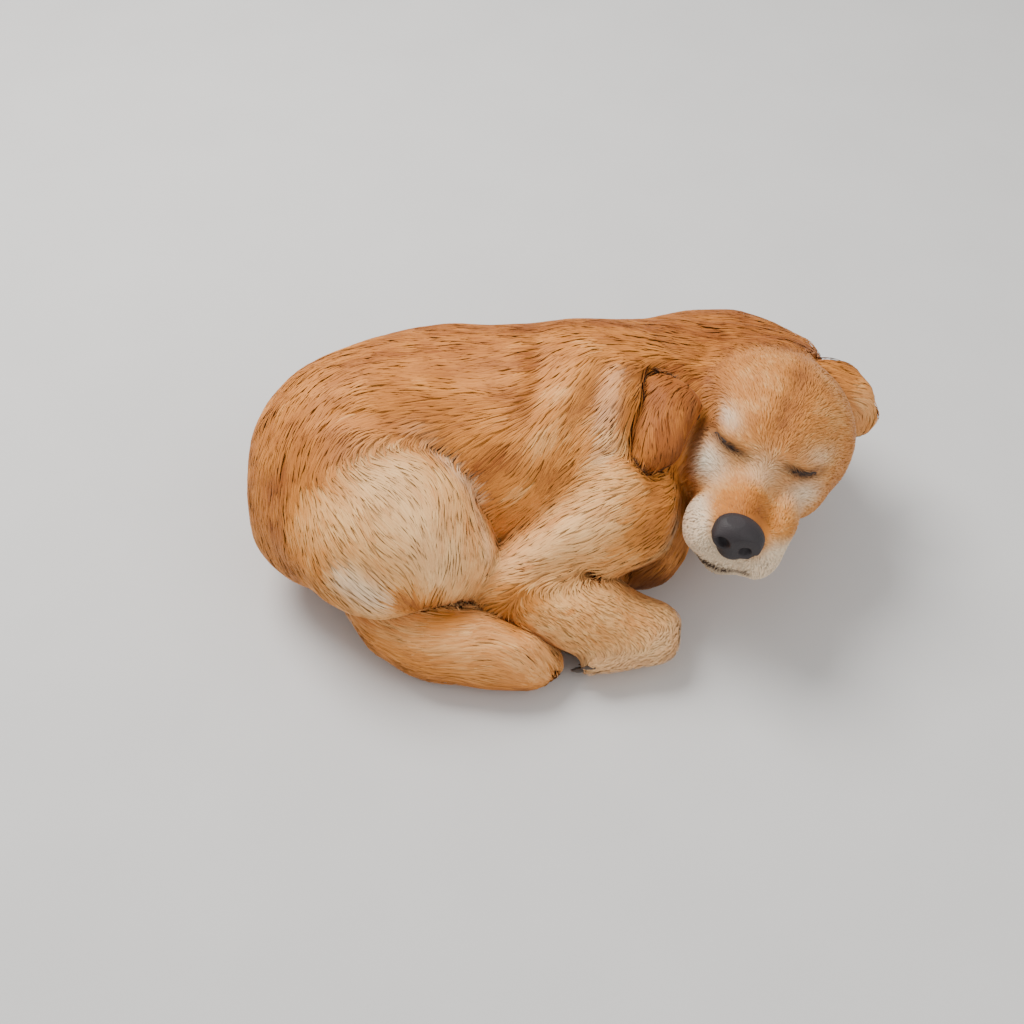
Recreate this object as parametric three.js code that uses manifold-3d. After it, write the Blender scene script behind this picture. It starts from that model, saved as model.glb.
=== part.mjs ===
// A golden retriever asleep, curled on its left hip with its head on its left foreleg: a life-size still model.
// Millimetres, +Z up, floor at z = 0. The trunk lies along X with the rump at -X and the back towards +Y, the
// legs fold towards -Y, and the head lies at +X and faces -Y. The solids reach out to the tips of the coat.
import * as THREE from "three";
import { mergeVertices } from "three/addons/utils/BufferGeometryUtils.js";
import Module from "manifold-3d";

const wasm = await Module();
wasm.setup();

// ---------------------------------------------------------------- driving dimensions
const GAP = 0.5; // clearance between neighbouring solids
const TRUNK_RADIUS = 112; // mean half thickness of the chest with its coat
const HEAD_PITCH = 16.5; // degrees that the muzzle points above the floor
const HEAD_TURN = 14.5; // degrees that the muzzle points away from -Y, towards -X
const HEAD_ROLL = 17; // degrees that the left side of the head hangs
const EYE_SPACING = 78; // between the middles of the two lids
const TOES = 4;
const TOE_PITCH = 13; // between neighbouring toes
const CLAW_LENGTH = 11;
const CLAW_RADIUS = 2.6;

const vec = (x, y, z) => new THREE.Vector3(x, y, z);
const WORLD = [vec(1, 0, 0), vec(0, 1, 0), vec(0, 0, 1)];

// Landmarks of the skeleton in this pose.
const POSE = {
  chest: vec(-2, 68, 117),
  loin: vec(-112, 80, 113),
  pelvis: vec(-194, 44, 112),
  seat: vec(-231, -2, 86),
  neckBase: vec(56, 92, 118),
  neckMiddle: vec(120, 138, 100),
  neckTop: vec(166, 156, 98),
  nape: vec(207, 138, 114),
  eyes: vec(190, 23, 155),
  shoulderRight: vec(54, -16, 120),
  elbowRight: vec(-50, -72, 62),
  wristRight: vec(82, -100, 37),
  toesForeRight: vec(15, -130, 17),
  elbowLeft: vec(30, 18, 44),
  wristLeft: vec(140, 45, 33),
  toesForeLeft: vec(212, 26, 9),
  kneeRight: vec(-101, -55, 102),
  hockRight: vec(-184, -74, 46),
  toesHindRight: vec(-64, -66, 29),
  kneeLeft: vec(-70, -14, 42),
  hockLeft: vec(-150, -34, 24),
  toesHindLeft: vec(-56, -34, 9),
};

// ---------------------------------------------------------------- fields
// A field is a function of a point: negative inside the shape, and close to the distance outside it. Each field
// carries the box that holds its shape.
function withBox(field, box) {
  field.box = box;
  return field;
}

// A rounded bar from a to b whose radius runs from ra to rb.
function limb(a, ra, b, rb) {
  const along = b.clone().sub(a);
  const span = along.lengthSq();
  const box = new THREE.Box3().setFromPoints([a, b]).expandByScalar(Math.max(ra, rb));
  const d = vec(0, 0, 0);
  return withBox((p) => {
    const t = THREE.MathUtils.clamp(d.copy(p).sub(a).dot(along) / span, 0, 1);
    return d.addScaledVector(along, -t).length() - THREE.MathUtils.lerp(ra, rb, t);
  }, box);
}

// A chain of bars through [point, radius] stations.
function chain(softness, stations) {
  const bars = stations.slice(1).map(([b, rb], i) => limb(stations[i][0], stations[i][1], b, rb));
  return blend(softness, ...bars);
}

// An ellipsoid with the given half lengths along three axes.
function blob(centre, radii, axes = WORLD) {
  const box = new THREE.Box3().setFromPoints([centre]).expandByScalar(Math.max(...radii));
  const d = vec(0, 0, 0);
  return withBox((p) => {
    d.copy(p).sub(centre);
    let far = 0;
    let steep = 0;
    axes.forEach((axis, i) => {
      const q = d.dot(axis) / radii[i];
      far += q * q;
      steep += (q / radii[i]) ** 2;
    });
    if (steep === 0) return -Math.min(...radii);
    return (Math.sqrt(far) * (Math.sqrt(far) - 1)) / Math.sqrt(steep);
  }, box);
}

function softMin(a, b, k) {
  const h = THREE.MathUtils.clamp(0.5 + (0.5 * (b - a)) / k, 0, 1);
  return THREE.MathUtils.lerp(b, a, h) - k * h * (1 - h);
}

// Fields joined with fillets of about the softness.
function blend(softness, ...fields) {
  const box = fields.reduce((all, f) => all.union(f.box), new THREE.Box3());
  return withBox((p) => fields.map((f) => f(p)).reduce((a, b) => softMin(a, b, softness)), box);
}

// A field with others pressed out of it, with soft rims.
function pressed(softness, field, ...cutters) {
  return withBox((p) => cutters.reduce((a, c) => -softMin(-a, c(p), softness), field(p)), field.box);
}

// Three unit axes: the first along the given direction, the second as near as can be to the hint.
function axesAlong(direction, hint) {
  const first = direction.clone().normalize();
  const third = first.clone().cross(hint).normalize();
  return [first, third.clone().cross(first), third];
}

// ---------------------------------------------------------------- solids
// The closed mesh of a field by surface nets: one vertex in each cell that the surface crosses, moved onto the
// surface, and one quad round each grid edge that it crosses.
function surfaceNet(field, cell, nudge) {
  const low = field.box.min.clone().addScalar(-2.5 * cell + nudge * cell);
  const size = field.box.max.clone().sub(low).addScalar(2.5 * cell);
  const n = size.toArray().map((s) => Math.ceil(s / cell) + 1);
  const id = (i, j, k) => (k * n[1] + j) * n[0] + i;
  const value = new Float32Array(n[0] * n[1] * n[2]);
  const p = vec(0, 0, 0);
  for (let k = 0; k < n[2]; k++)
    for (let j = 0; j < n[1]; j++)
      for (let i = 0; i < n[0]; i++) value[id(i, j, k)] = field(p.set(i, j, k).multiplyScalar(cell).add(low));

  const corners = [...Array(8).keys()].map((c) => [c & 1, (c >> 1) & 1, (c >> 2) & 1]);
  const edges = corners.flatMap((c, a) => [1, 2, 4].filter((bit) => !(a & bit)).map((bit) => [a, a | bit]));
  const vertexOf = new Int32Array(value.length).fill(-1);
  const points = [];
  for (let k = 0; k + 1 < n[2]; k++)
    for (let j = 0; j + 1 < n[1]; j++)
      for (let i = 0; i + 1 < n[0]; i++) {
        const at = corners.map(([x, y, z]) => value[id(i + x, j + y, k + z)]);
        const crossed = edges.filter(([a, b]) => at[a] < 0 !== at[b] < 0);
        if (!crossed.length) continue;
        const sum = vec(0, 0, 0);
        for (const [a, b] of crossed) {
          const t = at[a] / (at[a] - at[b]);
          sum.add(vec(...corners[a]).lerp(vec(...corners[b]), t));
        }
        sum.divideScalar(crossed.length).add(vec(i, j, k)).multiplyScalar(cell).add(low);
        vertexOf[id(i, j, k)] = points.length;
        points.push(ontoSurface(field, sum, cell));
      }

  const triangles = [];
  const steps = [
    [1, 0, 0],
    [0, 1, 0],
    [0, 0, 1],
  ];
  for (let k = 1; k + 1 < n[2]; k++)
    for (let j = 1; j + 1 < n[1]; j++)
      for (let i = 1; i + 1 < n[0]; i++)
        for (let axis = 0; axis < 3; axis++) {
          const [x, y, z] = steps[axis];
          const here = value[id(i, j, k)] < 0;
          if (here === value[id(i + x, j + y, k + z)] < 0) continue;
          const [u, v] = [steps[(axis + 1) % 3], steps[(axis + 2) % 3]];
          const cellAt = (a, b) =>
            vertexOf[id(i - a * u[0] - b * v[0], j - a * u[1] - b * v[1], k - a * u[2] - b * v[2])];
          const quad = [cellAt(0, 0), cellAt(1, 0), cellAt(1, 1), cellAt(0, 1)];
          if (!here) quad.reverse();
          const [a, b, c, d] = quad;
          const short = points[a].distanceTo(points[c]) < points[b].distanceTo(points[d]);
          triangles.push(...(short ? [a, b, c, a, c, d] : [a, b, d, b, c, d]));
        }
  return { points, triangles };
}

// Newton steps along the field's slope, kept within half a cell.
function ontoSurface(field, start, cell) {
  const STEP = 0.5;
  const p = start.clone();
  for (let turn = 0; turn < 4; turn++) {
    const f = field(p);
    const slope = vec(...WORLD.map((axis) => field(p.clone().addScaledVector(axis, STEP)) - f)).divideScalar(STEP);
    p.addScaledVector(slope, -f / Math.max(slope.lengthSq(), 0.25));
  }
  return p.distanceTo(start) < cell / 2 ? p : start;
}

function solidFrom(geometry) {
  const plain = new THREE.BufferGeometry();
  plain.setAttribute("position", geometry.getAttribute("position"));
  if (geometry.index) plain.setIndex(geometry.index);
  const merged = mergeVertices(plain, 1e-3);
  return new wasm.Manifold(
    new wasm.Mesh({
      numProp: 3,
      vertProperties: new Float32Array(merged.attributes.position.array),
      triVerts: new Uint32Array(merged.index.array),
    }),
  );
}

// The solid of a field and the same solid swollen by the gap, which is what its neighbours are cut with. The nudge
// moves the grid by a share of a cell.
function solidOf(field, cell, nudge) {
  const { points, triangles } = surfaceNet(field, cell, nudge);
  const geometry = new THREE.BufferGeometry().setFromPoints(points);
  geometry.setIndex(triangles);
  geometry.computeVertexNormals();
  const solid = solidFrom(geometry);
  const position = geometry.attributes.position;
  const normal = geometry.attributes.normal;
  const out = vec(0, 0, 0);
  for (let i = 0; i < position.count; i++) {
    out.fromBufferAttribute(normal, i).multiplyScalar(GAP);
    position.setXYZ(i, position.getX(i) + out.x, position.getY(i) + out.y, position.getZ(i) + out.z);
  }
  return { solid, swollen: solidFrom(geometry) };
}

// Whether the surface is still closed once its corners are rounded: each edge runs once each way.
function staysClosed(geometry) {
  const ROUNDING = 1e4;
  const names = new Map();
  const position = geometry.attributes.position;
  const corner = (i) => {
    const key = [position.getX(i), position.getY(i), position.getZ(i)].map((x) => Math.round(x * ROUNDING)).join();
    if (!names.has(key)) names.set(key, names.size);
    return names.get(key);
  };
  const ways = new Set();
  for (let i = 0; i < geometry.index.count; i += 3) {
    const [a, b, c] = [0, 1, 2].map((j) => corner(geometry.index.getX(i + j)));
    if (a === b || b === c || c === a) continue;
    for (const way of [`${a},${b}`, `${b},${c}`, `${c},${a}`]) {
      if (ways.has(way)) return false;
      ways.add(way);
    }
  }
  return [...ways].every((way) => ways.has(way.split(",").reverse().join()));
}

function geometryOf(solid) {
  const made = solid.getMesh();
  const position = new Float32Array(made.numVert * 3);
  for (let i = 0; i < made.numVert; i++)
    position.set(made.vertProperties.subarray(i * made.numProp, i * made.numProp + 3), i * 3);
  const geometry = new THREE.BufferGeometry();
  geometry.setAttribute("position", new THREE.BufferAttribute(position, 3));
  geometry.setIndex(new THREE.BufferAttribute(made.triVerts, 1));
  return geometry;
}

const largest = (solid) => solid.decompose().sort((a, b) => b.volume() - a.volume())[0];

// ---------------------------------------------------------------- the head
// Head coordinates (forward, left, up) from the point between the eyes.
const headTurn = new THREE.Euler(
  0,
  THREE.MathUtils.degToRad(-HEAD_PITCH),
  THREE.MathUtils.degToRad(-90 - HEAD_TURN),
  "ZYX",
);
const headQuaternion = new THREE.Quaternion()
  .setFromEuler(headTurn)
  .multiply(new THREE.Quaternion().setFromAxisAngle(vec(1, 0, 0), THREE.MathUtils.degToRad(-HEAD_ROLL)));
const HEAD_AXES = WORLD.map((axis) => axis.clone().applyQuaternion(headQuaternion));
const head = (forward, left, up) => vec(forward, left, up).applyQuaternion(headQuaternion).add(POSE.eyes);
const headBlob = (centre, radii) => blob(head(...centre), radii, HEAD_AXES);
const headLimb = (a, ra, b, rb) => limb(head(...a), ra, head(...b), rb);
const SIDES = { right: -1, left: 1 };
const bothSides = (make) => Object.values(SIDES).map(make);

const skullField = () =>
  blend(
    14,
    headBlob([-54, 0, -2], [84, 76, 64]),
    headBlob([-18, 0, 6], [44, 54, 42]),
    headBlob([-22, -42, -36], [54, 32, 44]),
    headBlob([-26, 42, -24], [50, 31, 36]),
    ...bothSides((s) => headBlob([-2, 25 * s, 12], [15, 19, 13])),
    headBlob([-40, -8, -60], [60, 44, 34]),
  );

const muzzleField = () =>
  blend(
    12,
    headLimb([-6, 0, -22], 27, [90, 0, -34], 19),
    headLimb([0, 0, -46], 40, [66, 0, -50], 33),
    headBlob([64, -22, -54], [39, 25, 28]),
    headBlob([68, 25, -53], [38, 26, 27]),
    headBlob([44, 36, -30], [34, 16, 20]),
    headLimb([0, 0, -70], 26, [80, 0, -72], 17),
  );

const eyePlace = (s) => [13, (EYE_SPACING / 2) * s, 6];
const headField = () => blend(16, skullField(), muzzleField());

// A closed lid: a low almond that slopes down towards the nose.
const eyeField = (s) => {
  const [forward, left, up] = eyePlace(s);
  const along = vec(-3, 15 * s, 6).applyQuaternion(headQuaternion);
  return blob(head(forward, left, up), [18, 11, 8], axesAlong(along, HEAD_AXES[2]));
};

const noseField = () =>
  pressed(
    3,
    blend(6, headBlob([98, 0, -29], [18, 24, 16]), headBlob([97, 0, -43], [14, 15, 14])),
    ...bothSides((s) => headBlob([114, 12 * s, -35], [8, 5, 4.5])),
  );

// An ear: a flap of overlapping leaves through [point, half width, half thickness] stations. Its broad face looks
// along the given direction.
function earField(face, stations) {
  const leaves = stations.slice(1).map(([b, width, thickness], i) => {
    const a = stations[i][0];
    const [along, out, across] = axesAlong(b.clone().sub(a), face);
    const half = a.distanceTo(b) / 2 + 0.45 * width;
    return blob(a.clone().lerp(b, 0.5), [half, thickness, width], [along, out, across]);
  });
  return blend(12, ...leaves);
}

// The right ear lies over the side of the neck.
const EAR_RIGHT_FACE = vec(-0.25, -0.6, 0.76);
const earRightField = () =>
  earField(EAR_RIGHT_FACE, [
    [vec(128, 96, 186), 0, 0],
    [vec(94, 46, 198), 40, 17],
    [vec(80, -8, 172), 31, 15],
  ]);

// The left ear stands out from its root and then folds down.
const EAR_LEFT_FACE = vec(0.1, -0.6, 0.79);
const earLeftField = () =>
  earField(EAR_LEFT_FACE, [
    [vec(242, 122, 162), 0, 0],
    [vec(294, 112, 140), 28, 15],
    [vec(289, 96, 106), 28, 13],
  ]);

// ---------------------------------------------------------------- trunk, neck and tail
const RISE = vec(0, 0.72, 0.69); // from the breastbone to the spine, as the trunk leans
const trunkAxes = axesAlong(vec(1, 0, 0), RISE);
const rumpAxes = axesAlong(vec(-0.62, -0.78, 0), vec(-0.3, 0.35, 0.88));

const chestField = () =>
  blend(
    30,
    blob(POSE.chest, [124, TRUNK_RADIUS + 8, TRUNK_RADIUS - 6], trunkAxes),
    blob(vec(68, 2, 62), [60, 62, 64]),
    blob(vec(34, 89, 147), [76, 62, 60], trunkAxes),
  );

const loinField = () =>
  blend(
    40,
    blob(POSE.loin, [122, TRUNK_RADIUS + 2, TRUNK_RADIUS - 8], trunkAxes),
    blob(vec(-110, 36, 62), [100, 56, 62]),
  );

const rumpField = () =>
  blend(
    30,
    blob(POSE.pelvis, [112, TRUNK_RADIUS, TRUNK_RADIUS - 6], rumpAxes),
    limb(POSE.pelvis, 78, POSE.seat, 67),
  );

const neckField = () =>
  chain(30, [
    [vec(30, 80, 120), 96],
    [POSE.neckBase, 90],
    [POSE.neckMiddle, 86],
    [POSE.neckTop, 81],
    [POSE.nape, 70],
  ]);

const throatField = () => limb(vec(84, 58, 78), 58, vec(150, 100, 78), 52);

const bodyField = () => blend(36, chestField(), loinField(), rumpField(), neckField(), throatField());

const tailField = () =>
  chain(24, [
    [vec(-206, -50, 58), 26],
    [vec(-160, -90, 38), 32],
    [vec(-124, -111, 36), 34],
    [vec(-74, -116, 37), 36],
    [vec(-34, -124, 31), 29],
    [vec(-9, -141, 17), 12],
  ]);

// ---------------------------------------------------------------- legs
// A paw from wrist or hock to toe tips: a palm and a row of toes side by side. sole points out of the pads, and
// seat is how far ahead of a toe's tip its claw starts.
function pawLayout(wrist, tips, sole, seat) {
  const along = tips.clone().sub(wrist);
  const [forward, , side] = axesAlong(along, sole);
  const toes = [...Array(TOES).keys()].map((i) => {
    const place = i - (TOES - 1) / 2;
    const inner = Math.abs(place) < 1;
    const root = wrist.clone().addScaledVector(along, 0.5).addScaledVector(side, place * TOE_PITCH * 0.85);
    const tip = tips
      .clone()
      .addScaledVector(side, place * TOE_PITCH)
      .addScaledVector(forward, inner ? -8 : -17);
    return { root, tip, forward, sole, seat };
  });
  return { toes, palm: wrist.clone().addScaledVector(along, 0.55) };
}

function pawField(wrist, wristRadius, layout) {
  const toes = layout.toes.map(({ root, tip }) => limb(root, 11, tip, 10.5));
  return blend(7, limb(wrist, wristRadius, layout.palm, 19), ...toes);
}

// A claw: a cone that curves a little towards the sole.
function clawGeometry({ tip, forward, sole, seat }, swell = 1) {
  const outline = [
    [0, -3],
    [CLAW_RADIUS, -3],
    [CLAW_RADIUS * 0.8, CLAW_LENGTH * 0.5],
    [0, CLAW_LENGTH],
  ];
  const geometry = new THREE.LatheGeometry(
    outline.map(([x, y]) => new THREE.Vector2(x, y)),
    5,
  );
  geometry.scale(swell, swell, swell);
  const aim = forward.clone().addScaledVector(sole, 0.35).normalize();
  geometry.applyQuaternion(new THREE.Quaternion().setFromUnitVectors(vec(0, 1, 0), aim));
  const start = tip.clone().addScaledVector(forward, seat);
  return geometry.translate(start.x, start.y, start.z);
}

const PAWS = {
  fore_right: {
    wrist: vec(84, -104, 36),
    radius: 29,
    layout: pawLayout(vec(84, -104, 36), POSE.toesForeRight, vec(0, 0.75, 0.6), 6),
  },
  fore_left: {
    wrist: POSE.wristLeft,
    radius: 25,
    layout: pawLayout(POSE.wristLeft, POSE.toesForeLeft, vec(0, 0, -1), 1),
  },
  hind_right: {
    wrist: vec(-150, -76, 40),
    radius: 23,
    layout: pawLayout(vec(-126, -72, 36), POSE.toesHindRight, vec(0, 0.2, -0.98), 0),
  },
  hind_left: {
    wrist: vec(-120, -34, 22),
    radius: 20,
    layout: pawLayout(vec(-115, -34, 20), POSE.toesHindLeft, vec(0, 0, -1), 1),
  },
};

const THIGH_FACING = vec(0.1, -0.66, 0.74);
const thighRightField = () => {
  const [, across, out] = axesAlong(vec(0.82, -0.36, -0.44), vec(0.3, 0.75, 0.58));
  const axes = [across.clone().cross(out), across, out];
  return blend(
    20,
    blob(vec(-166, -38, 123), [92, 92, 62], axes),
    limb(vec(-128, -48, 114), 50, POSE.kneeRight, 36),
    limb(POSE.kneeRight, 33, vec(-98, -64, 60), 28),
  );
};
const shinRightField = () => chain(16, [
  [vec(-102, -60, 68), 28],
  [POSE.hockRight, 24],
  [vec(-150, -76, 40), 22],
]);
const shinLeftField = () => chain(16, [
  [POSE.kneeLeft, 30],
  [POSE.hockLeft, 22],
  [vec(-120, -34, 22), 20],
]);
const armRightField = () =>
  blend(
    24,
    limb(POSE.shoulderRight, 56, POSE.elbowRight, 40),
    limb(vec(14, 40, 172), 44, POSE.shoulderRight, 48),
  );
const forearmRightField = () => chain(14, [
  [POSE.elbowRight, 40],
  [vec(20, -88, 54), 40],
  [POSE.wristRight, 31],
]);
const forearmLeftField = () => chain(14, [
  [POSE.elbowLeft, 34],
  [vec(90, 34, 38), 31],
  [POSE.wristLeft, 27],
]);

// ---------------------------------------------------------------- the model
const COAT = { gold: 0xc98d4a, deep: 0xa8672e, pale: 0xd9b27c, cream: 0xe2cfae };
const material = (colour, roughness) => new THREE.MeshStandardMaterial({ color: colour, roughness, metalness: 0 });
const coat = Object.fromEntries(Object.entries(COAT).map(([name, colour]) => [name, material(colour, 0.85)]));
const noseLeather = material(0x2a2728, 0.4);
const lidSkin = material(0x3a2a20, 0.6);
const clawHorn = material(0x3b3129, 0.45);

// Everything beyond a plane through a point.
const FAR = 900;
function beyond(point, normal) {
  const slab = new THREE.BoxGeometry(FAR, FAR, FAR);
  slab.translate(0, 0, FAR / 2);
  slab.applyQuaternion(new THREE.Quaternion().setFromUnitVectors(vec(0, 0, 1), normal.clone().normalize()));
  slab.translate(point.x, point.y, point.z);
  return solidFrom(slab);
}

// The body between planes, kept clear of each plane by half the gap.
const bodySlice = (cell, ...sides) => (nudge) => ({
  solid: sides.reduce(
    (solid, { at, normal, keep }) => {
      const out = normal.clone().normalize().multiplyScalar(-keep);
      return solid.subtract(beyond(at.clone().addScaledVector(out, -GAP / 2), out));
    },
    solidOf(bodyField(), cell, nudge).solid,
  ),
});
const CUTS = {
  neck: { at: vec(66, 76, 120), normal: vec(0.94, 0.3, 0.1) },
  loin: { at: vec(-50, 74, 110), normal: vec(1, 0, 0) },
  rump: { at: vec(-150, 60, 110), normal: vec(0.95, 0.3, 0) },
};

const group = new THREE.Group();
group.name = "golden_retriever";
const floor = beyond(vec(0, 0, 0), vec(0, 0, -1));
const cutters = [];

// Parts in order: each one keeps its shape where it meets those after it. A grid that meets the surface badly, or a
// cut that leaves slivers, gives no closed body: the part is then made again with its grid a little to one side.
function addPart(name, look, make, trim) {
  const TRIES = 12;
  for (let tries = 0; tries < TRIES; tries++) {
    const made = cutPart(make, 0.13 * tries, trim);
    if (!made) continue;
    const mesh = new THREE.Mesh(made.geometry, look);
    mesh.name = name;
    group.add(mesh);
    if (made.cutter) cutters.push(made.cutter);
    return;
  }
  throw new Error(name + " makes no closed body");
}

function cutPart(make, nudge, trim) {
  try {
    const raw = make(nudge);
    let solid = raw.solid.subtract(floor);
    let cutter = raw.swollen;
    if (trim) {
      solid = solid.intersect(trim.outside);
      cutter = cutter.intersect(trim.inside);
    }
    for (const other of cutters) solid = solid.subtract(other);
    const geometry = geometryOf(largest(solid));
    return staysClosed(geometry) ? { geometry, cutter } : null;
  } catch {
    return null;
  }
}
const add = (name, look, field, cell, trim) =>
  addPart(name, look, (nudge) => solidOf(field, cell, nudge), trim);

// A flat cut across a limb where it enters the body.
const trimAt = (point, normal) => ({
  outside: beyond(point, normal),
  inside: beyond(point.clone().addScaledVector(normal.clone().normalize(), -GAP), normal),
});

for (const [name, layout] of Object.entries(PAWS))
  layout.layout.toes.forEach((toe, i) => {
    const claw = { solid: solidFrom(clawGeometry(toe)), swollen: solidFrom(clawGeometry(toe, 1.2)) };
    addPart(`claw_${name}_${i + 1}`, clawHorn, () => claw);
  });
add("nose", noseLeather, noseField(), 8.5);
for (const [name, s] of Object.entries(SIDES)) add("eye_" + name, lidSkin, eyeField(s), 8);
add("ear_right", coat.deep, earRightField(), 16, trimAt(vec(92, 46, 178), EAR_RIGHT_FACE));
add("ear_left", coat.deep, earLeftField(), 16);
add("head", coat.gold, headField(), 19.2, trimAt(head(-118, 0, 0), HEAD_AXES[0]));
for (const [name, paw] of Object.entries(PAWS))
  add("paw_" + name, coat.cream, pawField(paw.wrist, paw.radius, paw.layout), name.startsWith("fore") ? 16 : 20);
add("foreleg_right_lower", coat.pale, forearmRightField(), 24, trimAt(vec(-46, -74, 60), vec(0.95, -0.15, -0.25)));
add("foreleg_right_upper", coat.pale, armRightField(), 30, trimAt(vec(20, -8, 100), vec(-0.1, -0.75, 0.62)));
add("foreleg_left", coat.pale, forearmLeftField(), 22, trimAt(vec(72, 30, 40), vec(1, 0, 0)));
add("tail", coat.gold, tailField(), 27, trimAt(vec(-204, -58, 52), vec(0.6, -0.8, 0)));
add("hindleg_right_lower", coat.pale, shinRightField(), 22);
add("hindleg_right_thigh", coat.pale, thighRightField(), 30, trimAt(vec(-150, -22, 104), THIGH_FACING));
add("hindleg_left", coat.pale, shinLeftField(), 25, trimAt(vec(-105, -14, 34), vec(0.3, -0.9, -0.3)));
addPart("neck", coat.gold, bodySlice(44, { ...CUTS.neck, keep: 1 }));
addPart("chest", coat.gold, bodySlice(40, { ...CUTS.neck, keep: -1 }, { ...CUTS.loin, keep: 1 }));
addPart("loin", coat.gold, bodySlice(40, { ...CUTS.loin, keep: -1 }, { ...CUTS.rump, keep: 1 }));
addPart("rump", coat.gold, bodySlice(40, { ...CUTS.rump, keep: -1 }));

// The frame: the floor at z = 0, under the middle of the model's box.
const middle = new THREE.Box3().setFromObject(group).getCenter(vec(0, 0, 0)).setZ(0);
for (const mesh of group.children) mesh.geometry.translate(-middle.x, -middle.y, 0);

export default group;
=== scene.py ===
"""The looks of the sleeping golden retriever: one skin, a coat of solid tufts, nose, lids and claws."""
import math
from functools import partial

import bpy
import numpy as np
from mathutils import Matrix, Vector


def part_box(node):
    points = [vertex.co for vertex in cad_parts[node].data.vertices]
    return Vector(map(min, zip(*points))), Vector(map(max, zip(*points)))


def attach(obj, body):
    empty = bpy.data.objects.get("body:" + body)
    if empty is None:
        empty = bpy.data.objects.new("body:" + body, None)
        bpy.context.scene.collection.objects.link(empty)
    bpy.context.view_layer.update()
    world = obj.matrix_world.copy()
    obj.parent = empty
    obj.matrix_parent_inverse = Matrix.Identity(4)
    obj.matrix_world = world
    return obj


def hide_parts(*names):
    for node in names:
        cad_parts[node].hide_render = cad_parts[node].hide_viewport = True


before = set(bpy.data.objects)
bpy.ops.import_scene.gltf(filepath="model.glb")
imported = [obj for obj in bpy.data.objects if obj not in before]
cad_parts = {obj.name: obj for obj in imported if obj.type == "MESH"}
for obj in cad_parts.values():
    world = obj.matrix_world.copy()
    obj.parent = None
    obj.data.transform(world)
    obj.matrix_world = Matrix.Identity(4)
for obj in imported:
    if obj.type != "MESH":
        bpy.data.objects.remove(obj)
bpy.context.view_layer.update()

import openvdb as vdb
from mathutils import Vector
from mathutils.kdtree import KDTree

NODE_BOXES = [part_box(name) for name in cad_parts]
MM = 0.001
VOXEL = 2.2 * MM
BAND = 10  # voxels of true distance on each side of a surface
CLOSING = 0.6 * MM  # closes the thin cuts between nodes
SEED = 11

RIGHT = np.array([1.0, 0.0, 0.0])
RISE = np.array([0.0, 0.72, 0.69])  # from the breastbone to the spine, as the trunk leans

# Per node: coat depth, tuft length, tuft width (mm), tufts per square cm, tone (0 pale .. 1 deep), cream.
COAT = {
    "neck": (1.7, 34, 2.2, 11.5, 0.70, 0.0),
    "chest": (1.5, 31, 2.1, 12.5, 0.62, 0.0),
    "loin": (1.5, 31, 2.1, 13.0, 0.68, 0.0),
    "rump": (1.5, 31, 2.1, 12.5, 0.70, 0.0),
    "hindleg_right_thigh": (1.5, 24, 1.9, 17.0, 0.25, 0.02),
    "hindleg_right_lower": (2, 18, 1.8, 10.0, 0.30, 0.2),
    "hindleg_left": (2, 14, 1.8, 9.0, 0.3, 0.1),
    "foreleg_right_upper": (1.6, 25, 1.9, 16.0, 0.31, 0.02),
    "foreleg_right_lower": (1.4, 11, 1.5, 34.0, 0.28, 0.03),
    "foreleg_left": (1.8, 12, 1.6, 16.0, 0.3, 0.1),
    "paw_fore_right": (1.4, 7, 1.4, 30.0, 0.24, 0.2),
    "paw_fore_left": (1.4, 7, 1.4, 22.0, 0.22, 0.3),
    "paw_hind_right": (1.5, 7, 1.4, 12.0, 0.22, 0.3),
    "paw_hind_left": (1.5, 7, 1.4, 12.0, 0.22, 0.3),
    "tail": (2.0, 48, 2.2, 15.0, 0.40, 0.05),
    "head": (1.4, 8.5, 1.2, 48.0, 0.42, 0.02),
    "ear_right": (1.6, 26, 1.8, 22.0, 1.0, 0.0),
    "ear_left": (1.6, 18, 1.8, 22.0, 0.50, 0.0),
}
FLESH = list(COAT)
DEPTH, LENGTH, WIDTH, DENSITY, TONE, CREAM = range(6)
LONG_COATED = {"neck", "chest", "loin", "rump", "hindleg_right_thigh", "foreleg_right_upper", "tail"}
LONG_COATED |= {"ear_right", "ear_left"}
TRIANGLES = {True: 16, False: 10}  # of one tuft, long or short
BUDGET = 950_000  # triangles of the whole coat


def centre(node):
    low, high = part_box(node)
    return np.array((low + high) / 2)


def within(node, across, back, up):
    """A point at the given shares of a node's box."""
    low, high = (np.array(v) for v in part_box(node))
    return low + (high - low) * np.array([across, back, up])


chest_at = partial(within, "chest")
rump_at = partial(within, "rump")
thigh_at = partial(within, "hindleg_right_thigh")
arm_at = partial(within, "foreleg_right_upper")
tail_at = partial(within, "tail")
ear_right_at = partial(within, "ear_right")
ear_left_at = partial(within, "ear_left")


def unit(v):
    return v / np.maximum(np.linalg.norm(v, axis=-1, keepdims=True), 1e-9)


def ramp(x, start, end):
    t = np.clip((x - start) / (end - start), 0.0, 1.0)
    return t * t * (3 - 2 * t)


def bell(x, middle, half_width):
    return np.exp(-(((x - middle) / half_width) ** 2))


def soft_min(a, b, k):
    h = np.clip(0.5 + 0.5 * (b - a) / k, 0, 1)
    return b + (a - b) * h - k * h * (1 - h)


def blend(k, *fields):
    joined = fields[0]
    for other in fields[1:]:
        joined = soft_min(joined, other, k)
    return joined


def limb(p, a, ra, b, rb):
    """Distance to a rounded bar from a to b whose radius runs from ra to rb."""
    a, b = np.array(a, float), np.array(b, float)
    along = b - a
    t = np.clip((p - a) @ along / (along @ along), 0, 1)
    return np.linalg.norm(p - a - t[:, None] * along, axis=1) - (ra + (rb - ra) * t)


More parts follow.
